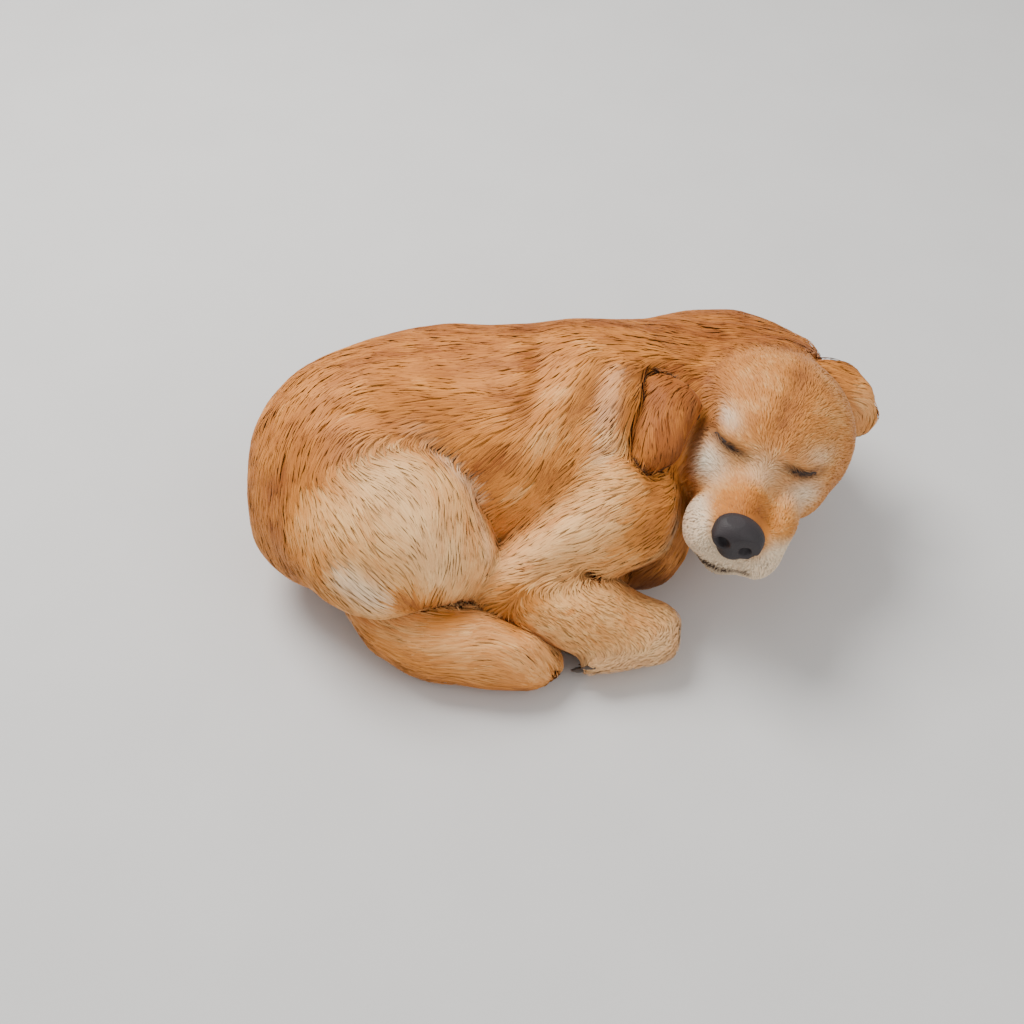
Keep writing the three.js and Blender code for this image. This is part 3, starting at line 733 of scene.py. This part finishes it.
def mottled_material(name, dark, light, scale, roughness):
    material, tree, shader = new_material(name)
    place = add_node(tree, "ShaderNodeTexCoord").outputs["Object"]
    cloud = add_node(tree, "ShaderNodeTexNoise", {"Vector": place, "Scale": scale, "Detail": 4.0}).outputs[0]
    tree.links.new(blend_colours(tree, cloud, dark, light), shader.inputs["Base Color"])
    bump = add_node(tree, "ShaderNodeBump", {"Height": cloud, "Strength": 0.3, "Distance": 0.0005})
    tree.links.new(bump.outputs[0], shader.inputs["Normal"])
    shader.inputs["Roughness"].default_value = roughness
    return material


# ---------------------------------------------------------------- meshes
def make_mesh(name, points, faces, material, smooth=True):
    """A mesh object from points and a list of index arrays, one for each number of corners."""
    mesh = bpy.data.meshes.new(name)
    mesh.vertices.add(len(points))
    mesh.vertices.foreach_set("co", np.ascontiguousarray(points, np.float32).reshape(-1))
    corners = np.concatenate([f.reshape(-1) for f in faces]).astype(np.int32)
    sizes = np.concatenate([np.full(len(f), f.shape[1]) for f in faces])
    mesh.loops.add(len(corners))
    mesh.loops.foreach_set("vertex_index", corners)
    mesh.polygons.add(len(sizes))
    mesh.polygons.foreach_set("loop_start", np.concatenate([[0], np.cumsum(sizes)[:-1]]).astype(np.int32))
    mesh.polygons.foreach_set("use_smooth", np.full(len(sizes), smooth))
    mesh.update(calc_edges=True)
    mesh.materials.append(material)
    thing = bpy.data.objects.new(name, mesh)
    bpy.context.scene.collection.objects.link(thing)
    return thing, corners


def outward_faces(points, triangles, quads):
    """The faces turned so that they look out."""
    faces = [f.astype(int) for f in (triangles, quads) if len(f)]
    corners = [[points[f[:, i]] for i in range(3)] for f in faces]
    volume = sum(np.einsum("ij,ij->", a, np.cross(b, c)) for a, b, c in corners)
    return [f[:, ::-1] for f in faces] if volume < 0 else faces


def set_vectors(mesh, name, values):
    layer = mesh.attributes.new(name, "FLOAT_VECTOR", "POINT")
    layer.data.foreach_set("vector", np.ascontiguousarray(values, np.float32).reshape(-1))


def set_uv(mesh, coordinates):
    layer = mesh.uv_layers.new(name="OFBake")
    layer.data.foreach_set("uv", np.ascontiguousarray(coordinates, np.float32).reshape(-1))


# ---------------------------------------------------------------- the skin
depth_volume = blur(finer(traits[..., DEPTH]), 4 * MM) * MM
skin_points, skin_triangles, skin_quads = surface(field + depth_volume, adaptivity=0.08)
skin_points = skin_points.astype(float)
skin_faces = outward_faces(skin_points, skin_triangles, skin_quads)
skin_points[:, 2] = np.maximum(skin_points[:, 2], 0.4 * MM)
skin, skin_corners = make_mesh("skin", skin_points, skin_faces, coat_material("skin_under_coat", False))
set_vectors(skin.data, "mark_and_painted_light", np.stack(markings_and_painted_light(skin_points), axis=1))


def unwrap(thing):
    """Opens the skin out into flat islands by the way its faces look."""
    bpy.context.view_layer.objects.active = thing
    thing.select_set(True)
    bpy.ops.object.mode_set(mode="EDIT")
    bpy.ops.mesh.select_all(action="SELECT")
    thing.data.uv_layers.new(name="OFBake")
    bpy.ops.uv.smart_project(angle_limit=math.radians(72), island_margin=0.002)
    bpy.ops.object.mode_set(mode="OBJECT")
    thing.select_set(False)


unwrap(skin)
skin_uv = np.zeros(len(skin.data.loops) * 2, np.float32)
skin.data.uv_layers["OFBake"].data.foreach_get("uv", skin_uv)
skin_uv = skin_uv.reshape(-1, 2)
skin.data.calc_loop_triangles()
triangle_loops = np.zeros(len(skin.data.loop_triangles) * 3, np.int32)
skin.data.loop_triangles.foreach_get("loops", triangle_loops)
triangle_loops = triangle_loops.reshape(-1, 3)
triangle_points = skin_corners[triangle_loops]


# ---------------------------------------------------------------- the coat
# Stations of a tuft from root to tip: share of its length, width and height in the coat.
FORMS = {
    True: (np.array([0.0, 0.34, 0.70, 1.0]), np.array([0.8, 1.0, 0.75]), np.array([-0.3, 0.66, 0.95, 1.02])),
    False: (np.array([0.0, 0.48, 1.0]), np.array([0.9, 1.0]), np.array([-0.3, 0.78, 1.0])),
}
ROOT_DEPTH = 1.2 * MM
FLOOR_CLEAR = 1.2 * MM
rng = np.random.default_rng(SEED)


def coat_share(points):
    """1 where the coat grows, 0 on the nose and thin under the body, where the floor hides it."""
    nose_size = np.array(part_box("nose")[1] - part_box("nose")[0])
    d = np.linalg.norm((points - centre("nose")) / (nose_size * 0.56), axis=1)
    share = ramp(d, 0.92, 1.04) * (0.25 + 0.75 * ramp(points[:, 2], 8 * MM, 26 * MM))
    forward, left, up = to_head(points).T
    for slit in SLITS.values():
        away, _ = to_line(np.stack([forward, left, up], axis=1), *[np.array(v, float) for v in slit])
        share = share * ramp(away, 2.0, 4.0)
    return share


def label_at(points):
    return label[tuple(np.clip(np.round(points / VOXEL - FIRST).astype(int), 0, np.array(SHAPE) - 1).T)]


def sow():
    """Seeds spread over the skin by each part's density: points, texture places and the traits there."""
    a, b, c = (skin_points[triangle_points[:, i]] for i in range(3))
    area = np.linalg.norm(np.cross(b - a, c - a), axis=1) / 2
    middle = (a + b + c) / 3
    expected = area * 1e4 * sample(traits, middle, STEP)[:, DENSITY] * coat_share(middle)
    long_label = np.array([n in LONG_COATED for n in FLESH])[label_at(middle)]
    cost = np.where(long_label, TRIANGLES[True], TRIANGLES[False])
    expected *= min(1.0, BUDGET / (expected * cost).sum())
    chosen = np.repeat(np.arange(len(area)), rng.poisson(expected))
    r1, r2 = np.sqrt(rng.random(len(chosen))), rng.random(len(chosen))
    weights = np.stack([1 - r1, r1 * (1 - r2), r1 * r2], axis=1)
    points = np.einsum("ij,ijk->ik", weights, skin_points[triangle_points[chosen]])
    places = np.einsum("ij,ijk->ik", weights, skin_uv[triangle_loops[chosen]])
    return points, places, sample(traits, points, STEP)


def length_share(points):
    """How much shorter than its part's coat a tuft is: shorter towards the nose."""
    forward = to_head(points)[:, 0]
    face = np.clip(sample(on_head, points, STEP)[:, 0] * 1.3, 0, 1)
    return 1 - face * (0.25 * ramp(forward, -40, 20) + 0.35 * ramp(forward, 20, 80))


def grow(points, trait, form):
    """The stations of each tuft with its side and outward directions there."""
    reaches, _, heights = form
    count = len(points)
    normal = outwards(points)
    swirl = 0.20 * soft_noise(points, 26 * MM, 21) + 0.10 * soft_noise(points, 9 * MM, 22)
    swirl = swirl + rng.normal(0, 0.07, count)
    length = trait[:, LENGTH] * MM * length_share(points) * rng.uniform(0.75, 1.25, count)
    depth = sample(depth_volume, points)
    lift = rng.uniform(0.88, 1.03, count) + 0.05 * soft_noise(points, 12 * MM, 23)
    place = points
    stations, normals = [points - normal * ROOT_DEPTH], [normal]
    sides = [np.cross(lie_at(points, normal), normal)]
    for k, reach in enumerate(np.diff(reaches)):
        flow = lie_at(place, normals[-1])
        side = np.cross(flow, normals[-1])
        heading = unit(flow + side * (swirl * (1 - 0.3 * k))[:, None])
        place = place + heading * (length * reach)[:, None]
        target = -depth * (1 - heights[k + 1] * lift)
        for _ in range(2):
            place = place - outwards(place) * (sample(field, place) - target)[:, None]
        place[:, 2] = np.maximum(place[:, 2], FLOOR_CLEAR)
        stations.append(place)
        sides.append(side)
        normals.append(outwards(place))
    return stations, sides, normals


def pull_into_locks(stations, share, pulls):
    """Draws the outer ends of neighbouring tufts towards a leader's, so that the coat parts into locks."""
    picked = np.flatnonzero(rng.random(len(stations[0])) < share)
    tree = KDTree(len(picked))
    for i, co in enumerate(stations[1][picked]):
        tree.insert(co, i)
    tree.balance()
    leaders = picked[np.array([tree.find(co)[1] for co in stations[1]])]
    away = stations[0][leaders] - stations[0]
    for k, pull in pulls:
        stations[k] = stations[k] + away * pull
    return leaders


def build_tufts(name, tufts, keep, form, material):
    stations, sides, normals = tufts["stations"], tufts["sides"], tufts["normals"]
    reaches, widths, _ = form
    rows = len(widths)
    size = 3 * rows + 1
    count = int(keep.sum())
    width = tufts["trait"][keep, WIDTH] * MM * tufts["broad"][keep]
    rings, ring_normals = [], []
    for k in range(rows):
        p, s, n = stations[k][keep], sides[k][keep], normals[k][keep]
        w = (width * widths[k] / 2)[:, None]
        rings += [p - s * w, p + s * w, p + n * w * 0.3]
        ring_normals += [unit(n - 0.4 * s), unit(n + 0.4 * s), n]
    points = np.stack(rings + [stations[-1][keep]], axis=1).reshape(-1, 3)
    points[:, 2] = np.maximum(points[:, 2], 0.3 * MM)
    vertex_normals = np.stack(ring_normals + [normals[-1][keep]], axis=1).reshape(-1, 3)
    quads = [
        [a + i, a + j, a + j + 3, a + i + 3]
        for a in range(0, 3 * (rows - 1), 3)
        for i, j in ((0, 2), (2, 1), (1, 0))
    ]
    last = 3 * (rows - 1)
    ends = [[last, last + 2, last + 3], [last + 2, last + 1, last + 3], [last + 1, last, last + 3], [0, 1, 2]]
    base = (np.arange(count) * size)[:, None, None]
    faces = [(np.array(quads) + base).reshape(-1, 4), (np.array(ends) + base).reshape(-1, 3)]
    tuft, corners = make_mesh(name, points, faces, material)
    mesh = tuft.data
    set_vectors(mesh, "mark_and_painted_light", np.repeat(tufts["marks_and_painted_light"][keep], size, axis=0))
    along = np.append(np.repeat(reaches[:rows], 3), 1.0)
    own_tone = np.repeat(tufts["tone"][keep], size)
    lock = np.stack([own_tone, np.tile(along, count), np.zeros(count * size)], axis=1)
    set_vectors(mesh, "lock", lock)
    across = np.append(np.tile([-0.5, 0.5, 0.0], rows), 0.0)
    offset = 0.003 * np.stack([across, along], axis=1)
    uv = (tufts["places"][keep][:, None, :] + offset).reshape(-1, 2)
    set_uv(mesh, uv[corners])
    mesh.normals_split_custom_set_from_vertices(vertex_normals.astype(np.float32))
    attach(tuft, "root")
    return tuft


hair_material = coat_material("coat_hair", True)
root_points, root_places, root_traits = sow()
root_label = label_at(root_points)
is_long = np.array([n in LONG_COATED for n in FLESH])[root_label]
batches = {}
for long_form in (True, False):
    mine = is_long == long_form
    points, places, trait = root_points[mine], root_places[mine], root_traits[mine]
    stations, sides, normals = grow(points, trait, FORMS[long_form])
    leaders = pull_into_locks(stations, 0.10, ((2, 0.06), (3, 0.15)) if long_form else ((2, 0.1),))
    own = rng.normal(0, 1, len(points))
    batches[long_form] = {
        "stations": stations,
        "sides": sides,
        "normals": normals,
        "trait": trait,
        "places": places,
        "label": root_label[mine],
        "broad": rng.uniform(0.75, 1.25, len(points)),
        "tone": 0.35 * own + 0.3 * own[leaders],
        "marks_and_painted_light": np.stack(markings_and_painted_light(stations[1]), axis=1),
    }

GROUPS = {
    "coat_neck": ("coat_gold", ["neck"]),
    "coat_chest": ("coat_gold", ["chest"]),
    "coat_loin": ("coat_gold", ["loin"]),
    "coat_rump": ("coat_gold", ["rump"]),
    "coat_haunch": ("coat_pale", ["hindleg_right_thigh"]),
    "coat_arm_tail": ("coat_pale", ["foreleg_right_upper", "tail"]),
    "coat_ears": ("coat_deep", ["ear_right", "ear_left"]),
    "coat_head": ("coat_gold", ["head"]),
    "coat_legs": (
        "coat_pale",
        ["hindleg_right_lower", "hindleg_left", "foreleg_right_lower", "foreleg_left"],
    ),
    "coat_paws": ("coat_cream", ["paw_fore_right", "paw_fore_left", "paw_hind_right", "paw_hind_left"]),
}
for name, (slot, nodes) in GROUPS.items():
    long_form = nodes[0] in LONG_COATED
    tufts = batches[long_form]
    keep = np.isin(tufts["label"], [FLESH.index(n) for n in nodes])
    if name != "coat_head":
        build_tufts(name, tufts, keep, FORMS[long_form], hair_material)
        continue
    left_half = to_head(tufts["stations"][0])[:, 1] > 0
    build_tufts("coat_head_right", tufts, keep & ~left_half, FORMS[long_form], hair_material)
    build_tufts("coat_head_left", tufts, keep & left_half, FORMS[long_form], hair_material)

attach(skin, "root")
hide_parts(*FLESH)

# ---------------------------------------------------------------- nose, lids and claws
FINE = 0.9 * MM


def nose_mesh():
    low, high = (np.array(v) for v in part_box("nose"))
    first = np.floor((low - 8 * MM) / FINE).astype(int)
    last = np.ceil((high + 8 * MM) / FINE).astype(int)
    axes = [np.arange(first[i], last[i]) * FINE for i in range(3)]
    points = np.stack(np.meshgrid(*axes, indexing="ij"), axis=-1)
    values = nose_shape(to_head(points.reshape(-1, 3))) * MM
    return surface(values.reshape(points.shape[:3]).clip(-4 * FINE, 4 * FINE), FINE, first)


def curve_through(a, b, c, count):
    t = np.linspace(0, 1, count)[:, None]
    return a * (1 - t) * (1 - 2 * t) + 4 * b * t * (1 - t) + c * t * (2 * t - 1)


def onto_coat(points, sink):
    for _ in range(4):
        points = points - outwards(points) * (sample(field, points) + sink)[:, None]
    return points


LASHES = 12


def lid_mesh(slit):
    """The dark rim of a closed lid with its lashes."""
    stations, corners = 25, 8
    middle = curve_through(*[from_head(*v) for v in slit], stations)
    middle = onto_coat(middle, 2.4 * MM)
    normal = outwards(middle)
    along = unit(np.gradient(middle, axis=0))
    across = unit(np.cross(along, normal))
    swell = np.sin(np.linspace(0.08, 0.92, stations) * math.pi)[:, None]
    angles = np.linspace(0, 2 * math.pi, corners, endpoint=False)
    rings = [middle + swell * MM * (3.3 * math.cos(a) * across + 2.0 * math.sin(a) * normal) for a in angles]
    points = np.stack(rings, axis=1).reshape(-1, 3)
    quads = [
        [k + i, k + (i + 1) % corners, k + corners + (i + 1) % corners, k + corners + i]
        for k in range(0, (stations - 1) * corners, corners)
        for i in range(corners)
    ]
    ends = [points[:corners].mean(0), points[-corners:].mean(0)]
    tip, total = len(points), len(points) - corners
    triangles = [[(i + 1) % corners, i, tip] for i in range(corners)]
    triangles += [[total + i, total + (i + 1) % corners, tip + 1] for i in range(corners)]
    points = np.vstack([points, ends])
    down = across if across[0] @ TOP < 0 else -across
    for i in range(LASHES):
        k = int(4 + (stations - 8) * i / (LASHES - 1))
        root = middle[k]
        reach = unit(0.9 * down[k] + 0.7 * normal[k] + 0.25 * (i / (LASHES - 1) - 0.5) * along[k])
        base = len(points)
        legs = [root + 0.35 * MM * v for v in (along[k], normal[k], -along[k])]
        points = np.vstack([points, legs, root + 6.5 * MM * reach])
        triangles += [[base, base + 1, base + 3], [base + 1, base + 2, base + 3], [base + 2, base, base + 3],
                      [base + 2, base + 1, base]]
    return points, [np.array(quads), np.array(triangles)]


nose_look = nose_material()
lid_look = mottled_material("lid_skin", (0.012, 0.006, 0.004, 1), (0.045, 0.022, 0.014, 1), 220.0, 0.7)
horn_look = mottled_material("claw_horn", (0.02, 0.014, 0.01, 1), (0.09, 0.06, 0.04, 1), 160.0, 0.35)
nose_points, nose_triangles, nose_quads = nose_mesh()
nose_points = nose_points.astype(float)
nose_faces = outward_faces(nose_points, nose_triangles, nose_quads)
nose, _ = make_mesh("nose_pad", nose_points, nose_faces, nose_look)
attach(nose, "root")
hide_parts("nose")
for side, slit in SLITS.items():
    lid, _ = make_mesh("lid_" + side, *lid_mesh(slit), lid_look)
    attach(lid, "root")
    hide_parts("eye_" + side)
for name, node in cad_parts.items():
    if name.startswith("claw"):
        node.data.materials.clear()
        node.data.materials.append(horn_look)

# ---------------------------------------------------------------- floor, light and camera
floor_material, tree, shader = new_material("pale_floor")
place = add_node(tree, "ShaderNodeTexCoord").outputs["Object"]
speck = add_node(tree, "ShaderNodeTexNoise", {"Vector": place, "Scale": 8.0, "Detail": 5.0}).outputs[0]
FLOOR_DARK, FLOOR_LIGHT = (0.60, 0.60, 0.60, 1), (0.66, 0.66, 0.66, 1)
tree.links.new(blend_colours(tree, speck, FLOOR_DARK, FLOOR_LIGHT), shader.inputs["Base Color"])
shader.inputs["Roughness"].default_value = 0.9
floor_points = np.array([[-4, -4, 0], [4, -4, 0], [4, 4, 0], [-4, 4, 0]], float)
floor, _ = make_mesh("floor", floor_points, [np.array([[0, 1, 2, 3]])], floor_material, False)


def area_light(name, place, aim, size, power, colour):
    lamp = bpy.data.lights.new(name, "AREA")
    lamp.shape = "DISK"
    lamp.size = size
    lamp.energy = power
    lamp.color = colour
    thing = bpy.data.objects.new(name, lamp)
    thing.location = place
    thing.rotation_euler = (Vector(aim) - Vector(place)).to_track_quat("-Z", "Y").to_euler()
    bpy.context.scene.collection.objects.link(thing)


WINDOW_WATTS = 62.0
FILL_WATTS = 14.0
STUDIO_GLOW = 0.78
area_light("window", (-0.9, 0.7, 1.9), (0, 0, 0.1), 1.2, WINDOW_WATTS, (1.0, 0.97, 0.93))
area_light("fill", (1.3, -1.3, 1.5), (0, 0, 0.1), 1.6, FILL_WATTS, (1.0, 0.97, 0.94))
world = bpy.data.worlds.new("studio")
world.use_nodes = True
world.node_tree.nodes["Background"].inputs[0].default_value = (0.95, 0.94, 0.92, 1)
world.node_tree.nodes["Background"].inputs[1].default_value = STUDIO_GLOW
bpy.context.scene.world = world

CAMERA_RAISE = math.radians(50)
CAMERA_DISTANCE = 1.4
AIM_FROM_BROW = Vector((237.3, 12.2, 69.8)) * MM  # from the middle of the body to between the eyes
CAMERA_AIM = Vector(BROW) - AIM_FROM_BROW
SENSOR_WIDTH, FOCAL_LENGTH = 36.0, 51.19
camera = bpy.data.objects.new("camera", bpy.data.cameras.new("camera"))
camera.data.sensor_width = SENSOR_WIDTH
camera.data.lens = FOCAL_LENGTH
camera.location = CAMERA_AIM + CAMERA_DISTANCE * Vector((0, -math.cos(CAMERA_RAISE), math.sin(CAMERA_RAISE)))
camera.rotation_euler = (math.pi / 2 - CAMERA_RAISE, 0, 0)
bpy.context.scene.collection.objects.link(camera)
bpy.context.scene.camera = camera
